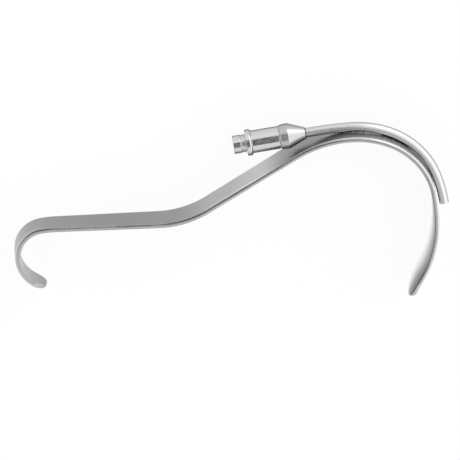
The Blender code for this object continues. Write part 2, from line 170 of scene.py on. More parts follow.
class StageSettings(bpy.types.PropertyGroup):
    floor: colour("Floor", (0.95, 0.95, 0.95), "Colour of the floor")
    floor_lift: share("Floor lift", 0.92,
                      "How far the floor is lifted toward white in view and in reflections")
    tent_level: FloatProperty(name="Tent level", description="Brightness of the light tent",
                              default=1.0, min=0.0, max=4.0)
    camera_distance: length("Camera distance", 3.4, "Distance from the camera to the retractor")
    frame_width: length("Frame width", 0.20275, "Width that the picture takes in")


class Centreline:
    """A chain of straight runs and round bends in the plane of the strip's profile."""

    def __init__(self, start, heading):
        self.runs = []
        self.marks = {}
        self.end = Vector(start)
        self.heading = heading
        self.length = 0.0

    def straight(self, run_length):
        self.runs.append((self.length, run_length, self.end.copy(), self.heading, 0.0))
        self.end = self.end + run_length * Vector((math.cos(self.heading), math.sin(self.heading)))
        self.length += run_length

    def bend(self, radius, turn):
        """Turn left by a positive angle in degrees, right by a negative one."""
        curve = math.copysign(1.0 / radius, turn)
        run_length = radius * math.radians(abs(turn))
        self.runs.append((self.length, run_length, self.end.copy(), self.heading, curve))
        self.end, self.heading = self.pose(self.length + run_length)
        self.length += run_length

    def pose(self, station):
        """The point and heading at a distance along the line."""
        begin, run_length, point, heading, curve = self.runs[-1]
        for run in self.runs:
            if station <= run[0] + run[1]:
                begin, run_length, point, heading, curve = run
                break
        gone = station - begin
        if curve == 0.0:
            return point + gone * Vector((math.cos(heading), math.sin(heading))), heading
        turned = heading + curve * gone
        shift = Vector((math.sin(turned) - math.sin(heading), math.cos(heading) - math.cos(turned)))
        return point + shift / curve, turned

    def stations(self, start, stop):
        """Distances between start and stop, close together on the bends."""
        found = []
        for begin, run_length, point, heading, curve in self.runs:
            low = max(begin, start)
            high = min(begin + run_length, stop)
            if high <= low:
                continue
            step = math.radians(BEND_STEP) / abs(curve) if curve else STRAIGHT_STEP
            count = max(1, math.ceil((high - low) / step))
            found.extend(low + (high - low) * k / count for k in range(count))
        return found[1:]

    def beside(self, station, across, up):
        """A point beside the line: across to the left of its heading, up along Z."""
        point, heading = self.pose(station)
        return Vector((point.x - across * math.sin(heading), point.y + across * math.cos(heading), up))


def strip_line():
    """The strip's centre line, from the hook's tip to the lip, in its own plane."""
    line = Centreline((0.0, 0.0), math.radians(HOOK_TURN))
    for name, size, turn in CENTRE_LINE:
        line.marks[name] = line.length
        if turn:
            line.bend(size, turn)
        else:
            line.straight(size)
    return line


def blend_between(low, high, start, stop, station):
    gone = min(max((station - start) / (stop - start), 0.0), 1.0)
    return low + (high - low) * gone


def strip_thickness(sizes, line, station):
    return blend_between(sizes.handle_thickness, sizes.blade_thickness,
                         line.marks["handle_bend"], line.marks["crown_entry"], station)


def guide_line(strip, sizes, guide):
    """The light guide's centre line, from the tube's buried end to its open end."""
    stand_off = sizes.blade_thickness / 2 + TUBE_SEAT_GAP + guide.tube_diameter / 2
    strip_turn = RUN_TURN["handle_bend"] - CONTACT_SLOPE
    contact = strip.marks["crown_entry"] + RUN_SIZE["crown_entry"] * math.radians(strip_turn)
    touch = strip.beside(contact, stand_off, 0.0).xy
    heading = math.radians(CONTACT_SLOPE + LEAD_IN_ANGLE)
    lead_in = Centreline((0.0, 0.0), heading)
    lead_in.straight(TUBE_SOCKET_LENGTH + TUBE_FREE_LENGTH)
    lead_in.bend(LEAD_IN_RADIUS, -LEAD_IN_ANGLE)
    line = Centreline(touch - lead_in.end, heading)
    line.straight(TUBE_SOCKET_LENGTH + TUBE_FREE_LENGTH)
    line.bend(LEAD_IN_RADIUS, -LEAD_IN_ANGLE)
    line.bend(RUN_SIZE["crown_entry"] + stand_off, strip_turn - RUN_TURN["crown_entry"])
    line.bend(RUN_SIZE["crown"] + stand_off, -RUN_TURN["crown"])
    line.bend(RUN_SIZE["shoulder"] + stand_off, -math.degrees(TUBE_CONTACT_END / RUN_SIZE["shoulder"]))
    line.bend(TUBE_END_RADIUS, -math.degrees(TUBE_END_LENGTH / TUBE_END_RADIUS))
    return line


def middle_of(node):
    low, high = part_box(node)
    return (low + high) / 2


def line_shift(line, sizes):
    """From the centre line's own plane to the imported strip: the middles of both boxes meet."""
    spots = []
    for station in [0.0, line.length, *line.stations(0.0, line.length)]:
        half = strip_thickness(sizes, line, station) / 2
        spots.extend((line.beside(station, half, 0.0), line.beside(station, -half, 0.0)))
    target = middle_of("retractor_strip")
    reach = [(min(spot[k] for spot in spots) + max(spot[k] for spot in spots)) / 2 for k in range(2)]
    return Vector((target.x - reach[0], target.y - reach[1], target.z))


def slice_along(shape, places):
    """Cuts across X, so that the straight piece can be bent."""
    for place in places:
        everything = [*shape.verts, *shape.edges, *shape.faces]
        bmesh.ops.bisect_plane(shape, geom=everything, dist=MERGE_DISTANCE,
                               plane_co=(place, 0.0, 0.0), plane_no=(1.0, 0.0, 0.0))


def extruded(shape, vector):
    """Gives the flat outline in shape its depth."""
    grown = bmesh.ops.extrude_face_region(shape, geom=list(shape.faces))
    lifted = [part for part in grown["geom"] if isinstance(part, bmesh.types.BMVert)]
    bmesh.ops.translate(shape, vec=vector, verts=lifted)
    bmesh.ops.recalc_face_normals(shape, faces=shape.faces)


def bevelled(shape, parts, offset, segments, affect="EDGES"):
    bmesh.ops.bevel(shape, geom=parts, offset=offset, offset_type="OFFSET", segments=segments,
                    profile=0.5, affect=affect, clamp_overlap=True, material=-1)


def spun(shape, parts, segments):
    """Spins the parts a full turn about X."""
    bmesh.ops.spin(shape, geom=parts, cent=(0, 0, 0), axis=(1, 0, 0), dvec=(0, 0, 0),
                   angle=2 * math.pi, steps=segments, use_merge=True, use_duplicate=False)


def sharp_edges(shape, angle):
    return [edge for edge in shape.edges if edge.calc_face_angle(0.0) > math.radians(angle)]


def linked(name, data):
    """A new object in the scene, at the origin."""
    item = bpy.data.objects.new(name, data)
    bpy.context.scene.collection.objects.link(item)
    return item


def meshed(name, shape, material):
    """An object made of a bmesh, which is freed."""
    mesh = bpy.data.meshes.new(name)
    shape.to_mesh(mesh)
    shape.free()
    mesh.materials.append(material)
    return linked(name, mesh)


def finished(name, shape, place, material, body, nodes=()):
    """Keeps each point's bench place, sets the piece in its place and hands it to its body."""
    bmesh.ops.remove_doubles(shape, verts=shape.verts, dist=MERGE_DISTANCE)
    flat = shape.verts.layers.float_vector.new("flat")
    for vertex in shape.verts:
        vertex[flat] = vertex.co
        vertex.co = place(vertex.co)
    bmesh.ops.recalc_face_normals(shape, faces=shape.faces)
    piece = meshed(name, shape, material)
    piece.data.shade_smooth()
    piece.data.set_sharp_from_angle(angle=math.radians(SHARP_ANGLE))
    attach(piece, body)
    if nodes:
        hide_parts(*nodes)


def on_post(spot):
    """From the bench, where X runs along the post from the adapter's tip, to where the solids lie."""
    side = Vector((0.0, 0.0, 1.0))
    return POST_TIP + POST_ALONG * spot.x + side.cross(POST_ALONG) * spot.y + side * spot.z


def add(tree, kind, sockets=None, **settings):
    """A new node with its settings made and its sockets set or linked."""
    node = tree.nodes.new(kind)
    for key, value in settings.items():
        setattr(node, key, value)
    for key, value in (sockets or {}).items():
        if isinstance(value, bpy.types.NodeSocket):
            tree.links.new(value, node.inputs[key])
        else:
            node.inputs[key].default_value = value
    return node


def number(tree, operation, first, second=0.0, third=0.0):
    return add(tree, "ShaderNodeMath", {0: first, 1: second, 2: third}, operation=operation).outputs[0]


def times(tree, first, second):
    return number(tree, "MULTIPLY", first, second)


def ranged(tree, value, low, high, to_low=0.0, to_high=1.0):
    """Maps a value smoothly from one range to another and holds it there."""
    sockets = {"Value": value, "From Min": low, "From Max": high, "To Min": to_low, "To Max": to_high}
    return add(tree, "ShaderNodeMapRange", sockets, interpolation_type="SMOOTHSTEP").outputs["Result"]


def grain(tree, source, scale, detail=3.0):
    """A noise pattern stretched by a scale for each direction of the bench place."""
    mapped = add(tree, "ShaderNodeMapping", {"Vector": source, "Scale": scale})
    sockets = {"Vector": mapped.outputs["Vector"], "Scale": 1.0, "Detail": detail, "Roughness": 0.55}
    return add(tree, "ShaderNodeTexNoise", sockets, noise_dimensions="3D").outputs["Fac"]


def new_material(name, shader_values, edge_tint=None):
    """A material with its shader's even values set on the shader's own sockets."""
    material = bpy.data.materials.new(name)
    material.use_nodes = True
    tree = material.node_tree
    shader = tree.nodes["Principled BSDF"]
    for key, value in shader_values.items():
        shader.inputs[key].default_value = value
    if edge_tint is not None:
        shader.inputs["Specular Tint"].default_value = (edge_tint, edge_tint, edge_tint, 1.0)
    flat = add(tree, "ShaderNodeAttribute", attribute_name="flat", attribute_type="GEOMETRY")
    return material, tree, shader, flat.outputs["Vector"]


def tinted(tree, base, low, high, factor):
    """The base colour made darker or lighter by a factor that runs from 0 to 1."""
    dark = (*(channel * low for channel in base), 1.0)
    light = (*(min(channel * high, 1.0) for channel in base), 1.0)
    mix = add(tree, "ShaderNodeMix", {"Factor": factor}, data_type="RGBA")
    mix.inputs["A"].default_value = dark
    mix.inputs["B"].default_value = light
    return mix.outputs["Result"]


def dressed(tree, shader, base, roughness, relief=None, depth=0.0):
    """Links a finish's colour, roughness and fine relief to its shader."""
    tree.links.new(base, shader.inputs["Base Color"])
    tree.links.new(roughness, shader.inputs["Roughness"])
    if relief is not None:
        bump = add(tree, "ShaderNodeBump", {"Height": relief, "Distance": depth, "Strength": 1.0})
        tree.links.new(bump.outputs["Normal"], shader.inputs["Normal"])


# Painted light and shade along the strip: how bright its colour is made, from the hook's tip, against
# the handle's, in place of the reflections and shade that change along it
PAINTED_SHADING = ((0.0, 1.33), (0.020, 1.60), (0.048, 1.10), (0.070, 1.00), (0.098, 1.10), (0.120, 1.60),
          (0.142, 2.05), (0.158, 1.05), (0.168, 1.00), (0.184, 1.50), (0.205, 1.55), (0.240, 1.90))
# Painted reflection across the blade's inner face: its level from the upper edge to the lower
BLADE_PAINTED_REFLECTION = (-0.32, 2.60)
# Painted sheen on the ground sides: their level against the handle's broad face
SIDE_PAINTED_SHEEN = 2.0
# Painted highlight along the outer rim: how much brighter it is made on the hook, the handle, the neck
# and the crown
RIM_PAINTED_HIGHLIGHT = (0.35, 0.05, 0.30, 0.60)
# The painted shade on the corner of the blade's tip, its run from the lip's start and its shares of
# half the width
TIP_SHADE = -0.55
TIP_SHADE_RUN = (-0.012, 0.008)
TIP_SHADE_SIDE = (-0.8, 0.2)
LEAST_TONE = 0.2
# Where each level of the painted rim highlight fades into the next, as marks on the strip and distances
# from them
PAINTED_HIGHLIGHT_FADES = ((("hook_entry", -0.010), ("handle", 0.0)),
              (("handle_bend", 0.0), ("neck", 0.020)),
              (("crown_entry", 0.0), ("crown", 0.0)))
# The outer rim's start, as shares of the thickness
OUTER_RIM = (0.6, 0.8)
# Bench heights between which the inner face ends and the ground sides begin
INNER_FACE = (0.0002, 0.0006)
SIDE_START = (0.0003, 0.0006)
# Distances in from the strip's edge between which the painted sheen of the side, the rim's wear and the
# painted rim highlight end
SIDE_DEPTH = (0.00005, 0.0003)
RIM_DEPTH = (0.0002, 0.0011)
RIM_HIGHLIGHT_DEPTH = (0.0006, 0.0022)


def painted_shading_tone(tree, sizes, line, inside, x, y, z):
    """Painted light and shade: the strip's colour made lighter and darker along it, across the blade's
    inner face, at the tip, on its sides and along its outer rim, in place of reflections and shade.
    """
    marks = line.marks
    tone = PAINTED_SHADING[0][1]
    # Painted light and shade along the strip
    for (start, low), (stop, high) in zip(PAINTED_SHADING, PAINTED_SHADING[1:]):
        tone = number(tree, "ADD", ranged(tree, x, start, stop, 0.0, high - low), tone)
    half = sizes.blade_width / 2
    # Painted reflection: a gradient across the blade's inner face
    across = ranged(tree, y, -half, half, BLADE_PAINTED_REFLECTION[1], BLADE_PAINTED_REFLECTION[0])
    inner = times(tree, ranged(tree, z, *INNER_FACE, 1.0, 0.0),
                  ranged(tree, x, marks["shoulder"], marks["blade_upper"]))
    # Painted shade on the corner of the blade's tip
    tip = times(tree, ranged(tree, x, *(marks["lip"] + run for run in TIP_SHADE_RUN), 0.0, TIP_SHADE),
                ranged(tree, y, *(half * part for part in TIP_SHADE_SIDE)))
    extra = number(tree, "ADD", number(tree, "SUBTRACT", across, 1.0), tip)
    tone = number(tree, "MULTIPLY_ADD", extra, inner, tone)
    tone = number(tree, "MAXIMUM", tone, LEAST_TONE)
    # Painted highlight along the outer rim
    rim_highlight = RIM_PAINTED_HIGHLIGHT[0]
    for fade, before, after in zip(PAINTED_HIGHLIGHT_FADES, RIM_PAINTED_HIGHLIGHT, RIM_PAINTED_HIGHLIGHT[1:]):
        ends = (marks[mark] + run for mark, run in fade)
        rim_highlight = number(tree, "ADD", rim_highlight, ranged(tree, x, *ends, 0.0, after - before))
    outer = ranged(tree, z, *(sizes.handle_thickness * part for part in OUTER_RIM))
    rim_wear_and_highlight = times(tree, ranged(tree, inside, *RIM_HIGHLIGHT_DEPTH, 1.0, 0.0), outer)
    tone = number(tree, "MULTIPLY_ADD", times(tree, rim_wear_and_highlight, rim_highlight), tone, tone)
    # Painted sheen on the ground sides
    side = times(tree, ranged(tree, inside, *SIDE_DEPTH, 1.0, 0.0), ranged(tree, z, *SIDE_START))
    gap = number(tree, "SUBTRACT", SIDE_PAINTED_SHEEN, tone)
    return number(tree, "MULTIPLY_ADD", gap, side, tone)


def satin_steel(sizes, line):
    """Forged strip: fine grain along its length, faint mottling, a rim worn smoother, and painted light
    and shade in its colour.
    """
    material, tree, shader, flat = new_material("satin_forged_steel", {"Metallic": 1.0})
    parts = add(tree, "ShaderNodeSeparateXYZ", {"Vector": flat})
    half = add(tree, "ShaderNodeMapRange", {
        "Value": parts.outputs["X"], "From Min": 0.0, "From Max": line.marks["blade_upper"],
        "To Min": sizes.hook_width / 2, "To Max": sizes.blade_width / 2}).outputs["Result"]
    inside = number(tree, "SUBTRACT", half, number(tree, "ABSOLUTE", parts.outputs["Y"]))
    # The painted light and shade in the strip's colour
    painted_tone = painted_shading_tone(tree, sizes, line, inside, *parts.outputs)
    rim = ranged(tree, inside, *RIM_DEPTH, 1.0, 0.0)
    fine = grain(tree, flat, (90.0, 3600.0, 3600.0))
    coarse = grain(tree, flat, (45.0, 700.0, 700.0), detail=2.0)
    mottle = grain(tree, flat, (160.0, 320.0, 320.0), detail=4.0)
    streaks = number(tree, "MULTIPLY_ADD", fine, 0.6, times(tree, coarse, 0.4))
    rough = ranged(tree, streaks, 0.3, 0.7, sizes.roughness - 0.05, sizes.roughness + 0.07)
    mottled = number(tree, "MULTIPLY_ADD", mottle, 0.08, rough)
    rim_wear_and_highlight = number(tree, "MULTIPLY_ADD", rim, -0.10, mottled)
    shade = number(tree, "MULTIPLY_ADD", mottle, 0.5, times(tree, streaks, 0.5))
    steel = tinted(tree, sizes.steel, 0.93, 1.07, ranged(tree, shade, 0.3, 0.7))
    toned = add(tree, "ShaderNodeVectorMath", {0: steel, 1: painted_tone}, operation="MULTIPLY")
    dressed(tree, shader, toned.outputs[0], rim_wear_and_highlight, streaks, 0.0000015)
    return material


def drawn_steel(guide):
    """Drawn tube: bright, with long draw marks and a slightly hazy polish."""
    material, tree, shader, flat = new_material("drawn_tube_steel", {"Metallic": 1.0}, 0.25)
    draw = grain(tree, flat, (60.0, 4200.0, 4200.0))
    haze = grain(tree, flat, (220.0, 260.0, 260.0), detail=4.0)
    rough = ranged(tree, haze, 0.3, 0.7, guide.roughness - 0.03, guide.roughness + 0.05)
    dressed(tree, shader, tinted(tree, guide.steel, 0.94, 1.06, draw),
            number(tree, "MULTIPLY_ADD", draw, 0.06, rough), draw, 0.0000004)
    return material


def polished_steel(name, steel, roughness):
    """Turned steel: fine rings from the lathe under a polish, with small handling marks."""
    material, tree, shader, flat = new_material(name, {"Metallic": 1.0}, 0.05)
    rings = grain(tree, flat, (9000.0, 40.0, 40.0), detail=2.0)
    marks = grain(tree, flat, (300.0, 900.0, 900.0), detail=5.0)
    rough = ranged(tree, marks, 0.35, 0.75, roughness - 0.02, roughness + 0.07)
    dressed(tree, shader, tinted(tree, steel, 0.95, 1.05, rings),
            number(tree, "MULTIPLY_ADD", rings, 0.04, rough), rings, 0.0000005)
    return material


def silver_braze(guide):
    """Braze metal: frozen ripples, dull and bright in patches."""
    material, tree, shader, flat = new_material("silver_braze", {"Metallic": 1.0})
    ripple = grain(tree, flat, (900.0, 1500.0, 1500.0), detail=4.0)
    patch = grain(tree, flat, (500.0, 500.0, 500.0), detail=2.0)
    dressed(tree, shader, tinted(tree, guide.braze, 0.80, 1.15, ripple),
            ranged(tree, patch, 0.35, 0.65, 0.28, 0.45), ripple, 0.00002)
    return material


def fibre_glass(guide):
    """Polished fibre ends: each fibre takes its own slight shade."""
    material, tree, shader, flat = new_material("glass_fibre_ends", {"IOR": 1.52})
    shade = grain(tree, flat, (400.0, 5200.0, 5200.0), detail=1.0)
    dressed(tree, shader, tinted(tree, guide.glass, 0.72, 1.10, shade),
            ranged(tree, shade, 0.3, 0.7, 0.08, 0.20))
    return material


def amber_resin(guide):
    """Potting resin, ground flush with the steel around it."""
    material, tree, shader, flat = new_material("amber_resin", {"IOR": 1.55})
    cloud = grain(tree, flat, (1800.0, 1800.0, 1800.0))
    dressed(tree, shader, tinted(tree, guide.resin, 0.80, 1.15, cloud),
            ranged(tree, cloud, 0.3, 0.7, 0.22, 0.38), cloud, 0.000008)
    return material


def seal_rubber(post):
    """Matte black rubber with a faint moulded texture."""
    material, tree, shader, flat = new_material("seal_rubber", {"IOR": 1.50})
    skin = grain(tree, flat, (3200.0, 3200.0, 3200.0))
    dressed(tree, shader, tinted(tree, post.rubber, 0.70, 1.40, skin),
            ranged(tree, skin, 0.3, 0.7, 0.50, 0.68), skin, 0.000010)
    return material


# The blank: its round ends, its rims, the holding ring on its broad faces, and cuts round its ends
END_SEGMENTS = 20
END_SHARE = 0.9995
END_MERGE = 0.00003
RIM_SEGMENTS = 7
FACE_LEVEL = 0.999
FACE_AREA = 0.0005
FACE_HOLD = 0.0001
END_CUTS = range(9, 90, 9)


def rounded_blank(sizes, line):
    """The strip's flat blank: a tapered outline with round ends, sawn out and edge-rounded."""
    shape = bmesh.new()
    first = sizes.hook_width / 2
    last = sizes.blade_width / 2
    taper_end = line.marks["blade_upper"]
    outline = [(0.0, -first), (taper_end, -last), (line.length, -last),
               (line.length, last), (taper_end, last), (0.0, first)]
    corners = [shape.verts.new((station, side, 0.0)) for station, side in outline]
    shape.faces.new(corners)
    for pair, radius in (((0, 5), first), ((2, 3), last)):
        bevelled(shape, [corners[k] for k in pair], radius * END_SHARE, END_SEGMENTS, "VERTICES")
    bmesh.ops.remove_doubles(shape, verts=shape.verts, dist=END_MERGE)
    extruded(shape, (0.0, 0.0, sizes.handle_thickness))
    middle = sizes.handle_thickness / 2
    for above, radius in ((True, sizes.outer_round), (False, sizes.inner_round)):
        rim = [edge for edge in sharp_edges(shape, CORNER_ANGLE)
               if abs(edge.verts[0].co.z - edge.verts[1].co.z) < MERGE_DISTANCE
               and (edge.verts[0].co.z > middle) == above]
        bevelled(shape, rim, radius, RIM_SEGMENTS)
    broad = [face for face in shape.faces
             if abs(face.normal.z) > FACE_LEVEL and face.calc_area() > FACE_AREA]
    bmesh.ops.inset_region(shape, faces=broad, thickness=FACE_HOLD, use_even_offset=True)
    return shape


def make_strip(sizes):
    line = strip_line()
    shift = line_shift(line, sizes)
    shape = rounded_blank(sizes, line)
    depths = [1 - math.cos(math.radians(angle)) for angle in END_CUTS]
    cuts = line.stations(0.0, line.length)
    cuts += [sizes.hook_width / 2 * depth for depth in depths]
    cuts += [line.length - sizes.blade_width / 2 * depth for depth in depths]
    slice_along(shape, sorted(cuts))

    def bend(spot):
        thickness = strip_thickness(sizes, line, spot.x)
        across = (spot.z / sizes.handle_thickness - 0.5) * thickness
        return line.beside(spot.x, across, spot.y) + shift

    material = satin_steel(sizes, line)
    finished("steel_strip", shape, bend, material, "retractor",
             ["retractor_strip"])


def laid(line, shift, station, across, up):
    """A point beside a centre line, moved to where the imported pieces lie."""
    placed = line.beside(station, across, up)
    return Vector((placed.x + shift.x, placed.y + shift.y, placed.z))


def guide_place(sizes, guide):
    """The bender for pieces on the light guide, and its centre line."""
    strip = strip_line()
    shift = line_shift(strip, sizes)
    line = guide_line(strip, sizes, guide)
    lift = middle_of("light_guide_tube").z

    def bend(spot):
        return laid(line, shift, spot.x, spot.y, spot.z + lift)

    return line, bend


# The tube's broken lips, and the holding rings beside them
LIP_BREAK = 0.00008
LIP_HOLD = 0.0002


def straight_tube(outer, bore, start, stop):
    """A straight tube along X, its wall left open at both ends and its lips broken."""
    shape = bmesh.new()
    across = Matrix.Translation((start, 0.0, 0.0)) @ Matrix.Rotation(math.pi / 2, 4, "Y")
    for diameter in (outer, bore):
        bmesh.ops.create_circle(shape, segments=TUBE_SEGMENTS, radius=diameter / 2, matrix=across)
    bmesh.ops.bridge_loops(shape, edges=shape.edges[:])
    extruded(shape, (stop - start, 0.0, 0.0))
    bevelled(shape, sharp_edges(shape, CORNER_ANGLE), LIP_BREAK, BREAK_SEGMENTS)
    return shape


def make_tube(sizes, guide):
    line, bend = guide_place(sizes, guide)
    shape = straight_tube(guide.tube_diameter, guide.tube_bore, 0.0, line.length)
    slice_along(shape, [LIP_HOLD, *line.stations(0.0, line.length), line.length - LIP_HOLD])
    finished("guide_tube", shape, bend, drawn_steel(guide), "retractor",
             ["light_guide_tube"])


def held_profile(corners, hold):
    """A closed profile of (place, radius) corners, with holding rings near the ends of a long run."""
    found = []
    for k, (place, radius) in enumerate(corners):
        found.append((place, radius))
        ahead = Vector(corners[(k + 1) % len(corners)]) - Vector((place, radius))
        if ahead.length > 3 * hold:
            step = ahead.normalized() * hold
            found.append((place + step.x, radius + step.y))
            found.append((place + ahead.x - step.x, radius + ahead.y - step.y))
    return found


# Turned pieces: how far holding rings stand off, and the least angle of an edge that is broken
TURNED_HOLD = 0.00022
TURNED_SHARP = 24.0
CONE_SHARP = 18.0


def turned(corners, segments, edge_break, sharp=TURNED_SHARP):
    """Spins a closed profile a full turn about X and breaks its sharp edges."""
    shape = bmesh.new()
    profile = held_profile(corners, TURNED_HOLD)
    spots = [shape.verts.new((place, 0.0, radius)) for place, radius in profile]
    edges = [shape.edges.new((spots[k], spots[(k + 1) % len(spots)])) for k in range(len(spots))]
    spun(shape, spots + edges, segments)
    bmesh.ops.remove_doubles(shape, verts=shape.verts, dist=MERGE_DISTANCE)
    bmesh.ops.recalc_face_normals(shape, faces=shape.faces)
    bevelled(shape, sharp_edges(shape, sharp), edge_break, BREAK_SEGMENTS)
    return shape


# A thread ridge: its half width against the pitch, its steps in a turn, and its sunk root
RIDGE_HALF = 0.42
RIDGE_STEPS = 40
RIDGE_SINK = 0.00002


def helix_ridge(root, crest, start, turns, pitch):
    """A triangular thread ridge wound along X; a crest inside the root makes an inner thread."""
    shape = bmesh.new()
    half = pitch * RIDGE_HALF
    corners = [(start - half, root), (start, crest), (start + half, root)]
    spots = [shape.verts.new((place, 0.0, radius)) for place, radius in corners]
    face = shape.faces.new(spots)
    bmesh.ops.spin(shape, geom=[face, *face.edges, *spots], cent=(0, 0, 0), axis=(1, 0, 0),
                   dvec=(pitch / RIDGE_STEPS, 0, 0), angle=2 * math.pi * turns,
                   steps=round(RIDGE_STEPS * turns), use_merge=False, use_duplicate=False)
    return shape


# The light post: places along it, measured from the adapter's tip, and its turned sizes
TIP_LENGTH = 0.0036
TIP_CHAMFER = 0.0003
GROOVE_END = TIP_LENGTH + 0.0005
COLLAR_END = GROOVE_END + 0.0011
NECK_END = COLLAR_END + 0.0005
FLANGE_END = NECK_END + 0.0026
FLANGE_CHAMFER = 0.0006
ADAPTER_LENGTH = FLANGE_END + 0.0122
BARREL_BREAK = 0.0001
EDGE_BREAK = 0.0002
SEAM_GAP = 0.0001
FIT_GAP = 0.0001
CONE_START = ADAPTER_LENGTH + SEAM_GAP
CONE_LENGTH = 0.0114
CONE_SHOULDER_LENGTH = 0.0038
CONE_RIM_DIAMETER = 0.01085
CONE_TIP_DIAMETER = 0.0054
CONE_TIP_ROUND = 0.0004
CONE_TIP_STEPS = 4
# The cone's rim as (place behind the seam, drop below the rim): a chamfer with a softened edge
CONE_RIM = ((0.0, 0.0005), (0.0002, 0.0003), (0.0006, 0.0))
STUB_DIAMETER = 0.0068
STUB_LENGTH = 0.0062
STUB_CHAMFER = 0.0003
STUB_NECK_DIAMETER = 0.0060
STUB_NECK_LENGTH = 0.0010
STUB_END = CONE_START - STUB_LENGTH
THREAD_BORE = 0.0070
THREAD_RUN_OUT = 0.0006
THREAD_START = STUB_END + 0.0004
THREAD_LENGTH = STUB_LENGTH - STUB_NECK_LENGTH - 0.0008
MOUTH_DIAMETER = 0.0062
MOUTH_DEPTH = 0.0012
MOUTH_CHAMFER = 0.0003
FERRULE_DIAMETER = 0.0048
FERRULE_BORE = 0.0032
FERRULE_BREAK = 0.00015
SEAL_SECTION = 0.0008
SEAL_CLEARANCE = 0.00005
SEAL_SIDES = 24
SEAL_SEAT = SEAL_SECTION + SEAL_CLEARANCE


def make_adapter(post):
    """The screw-on adapter: barrel, chamfered flange, neck, collar, groove and snap tip."""
    tip = post.tip_diameter / 2
    groove = post.groove_diameter / 2
    neck = post.neck_diameter / 2
    flange = post.flange_diameter / 2
    barrel = post.barrel_diameter / 2
    bore = post.bore / 2
    thread = THREAD_BORE / 2
    mouth = MOUTH_DIAMETER / 2
    seat = STUB_DIAMETER / 2 + SEAL_SEAT + SEAL_CLEARANCE
    chamfer_start = FLANGE_END - FLANGE_CHAMFER
    thread_end = ADAPTER_LENGTH - STUB_LENGTH - THREAD_RUN_OUT
    corners = [(0.0, tip - EDGE_BREAK), (EDGE_BREAK, tip)]
    corners += [(TIP_LENGTH - TIP_CHAMFER, tip), (TIP_LENGTH, groove)]
    corners += [(GROOVE_END, groove), (GROOVE_END + TIP_CHAMFER, tip)]
    corners += [(COLLAR_END, tip), (COLLAR_END, neck)]
    corners += [(NECK_END, neck), (NECK_END, flange - EDGE_BREAK), (NECK_END + EDGE_BREAK, flange)]
    corners += [(chamfer_start - EDGE_BREAK, flange), (chamfer_start + EDGE_BREAK, flange - EDGE_BREAK)]
    corners += [(FLANGE_END, barrel)]
    corners += [(ADAPTER_LENGTH - BARREL_BREAK, barrel), (ADAPTER_LENGTH, barrel - BARREL_BREAK)]
    corners += [(ADAPTER_LENGTH, seat), (ADAPTER_LENGTH - SEAL_SEAT, seat)]
    corners += [(ADAPTER_LENGTH - SEAL_SEAT, thread), (thread_end, thread), (thread_end, bore)]
    corners += [(MOUTH_DEPTH, bore), (MOUTH_DEPTH, mouth), (MOUTH_CHAMFER, mouth)]
    corners += [(0.0, mouth + MOUTH_CHAMFER)]
    shape = turned(corners, post.ring_segments, edge_break=0.00007)
    material = polished_steel("polished_adapter_steel", post.steel, post.roughness)
    finished("light_cable_adapter", shape, on_post, material, "adapter",
             ["cable_adapter"])


def make_cone(post, guide):
    """The post body: threaded stub, chamfered rim, widening shoulder, and a cone to the tube."""
    shoulder = post.shoulder_diameter / 2
    rim = CONE_RIM_DIAMETER / 2
    tip = CONE_TIP_DIAMETER / 2
    stub = STUB_DIAMETER / 2 - post.thread_depth
    neck = STUB_NECK_DIAMETER / 2
    neck_start = CONE_START - STUB_NECK_LENGTH
    end = CONE_START + CONE_LENGTH
    corners = [(STUB_END, stub - STUB_CHAMFER), (STUB_END + STUB_CHAMFER, stub)]
    corners += [(neck_start, stub), (neck_start, neck), (CONE_START, neck)]
    corners += [(CONE_START + place, rim - drop) for place, drop in CONE_RIM]
    corners += [(CONE_START + CONE_SHOULDER_LENGTH, shoulder)]
    for step in range(CONE_TIP_STEPS + 1):
        angle = math.pi / 2 * step / CONE_TIP_STEPS
        radius = tip - CONE_TIP_ROUND * (1 - math.cos(angle))
        corners.append((end - CONE_TIP_ROUND * (1 - math.sin(angle)), radius))
    socket = end - TUBE_SOCKET_LENGTH - FIT_GAP
    tube_bore = guide.tube_diameter / 2 + FIT_GAP
    ferrule_bore = FERRULE_DIAMETER / 2 + FIT_GAP
    corners += [(end, tube_bore), (socket, tube_bore), (socket, ferrule_bore)]
    corners += [(STUB_END, ferrule_bore)]
    shape = turned(corners, post.ring_segments, edge_break=0.00006, sharp=CONE_SHARP)
    material = polished_steel("satin_cone_steel", post.cone_steel, post.cone_roughness)
    finished("light_post_cone", shape, on_post, material, "retractor",
             ["post_cone"])
    turns = THREAD_LENGTH / post.thread_pitch
    thread = helix_ridge(stub - RIDGE_SINK, STUB_DIAMETER / 2, THREAD_START, turns, post.thread_pitch)
    finished("stub_thread", thread, on_post, material, "retractor")


def make_inner_thread(post):
    """The adapter's own thread, half a pitch behind the stub's so that the two interleave."""
    start = THREAD_START + post.thread_pitch / 2
    turns = THREAD_LENGTH / post.thread_pitch - 0.5
    root = THREAD_BORE / 2
    thread = helix_ridge(root + RIDGE_SINK, root - post.thread_depth, start, turns, post.thread_pitch)
    material = bpy.data.materials["polished_adapter_steel"]
    finished("adapter_thread", thread, on_post, material, "adapter")


def make_seal(post):
    """The seal ring in the adapter's counterbore."""
    low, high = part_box("seal_ring")
    middle = (low + high) / 2
    place = (middle - POST_TIP).dot(POST_ALONG)
    shape = bmesh.new()
    centre = Vector((place, 0.0, STUB_DIAMETER / 2 + SEAL_CLEARANCE + SEAL_SECTION / 2))
    across = Matrix.Translation(centre) @ Matrix.Rotation(math.pi / 2, 4, "X")
    made = bmesh.ops.create_circle(shape, segments=SEAL_SIDES, radius=SEAL_SECTION / 2, matrix=across)
    spun(shape, made["verts"] + list(shape.edges), post.ring_segments)
    finished("seal_ring_rubber", shape, on_post, seal_rubber(post), "seal",
             ["seal_ring"])


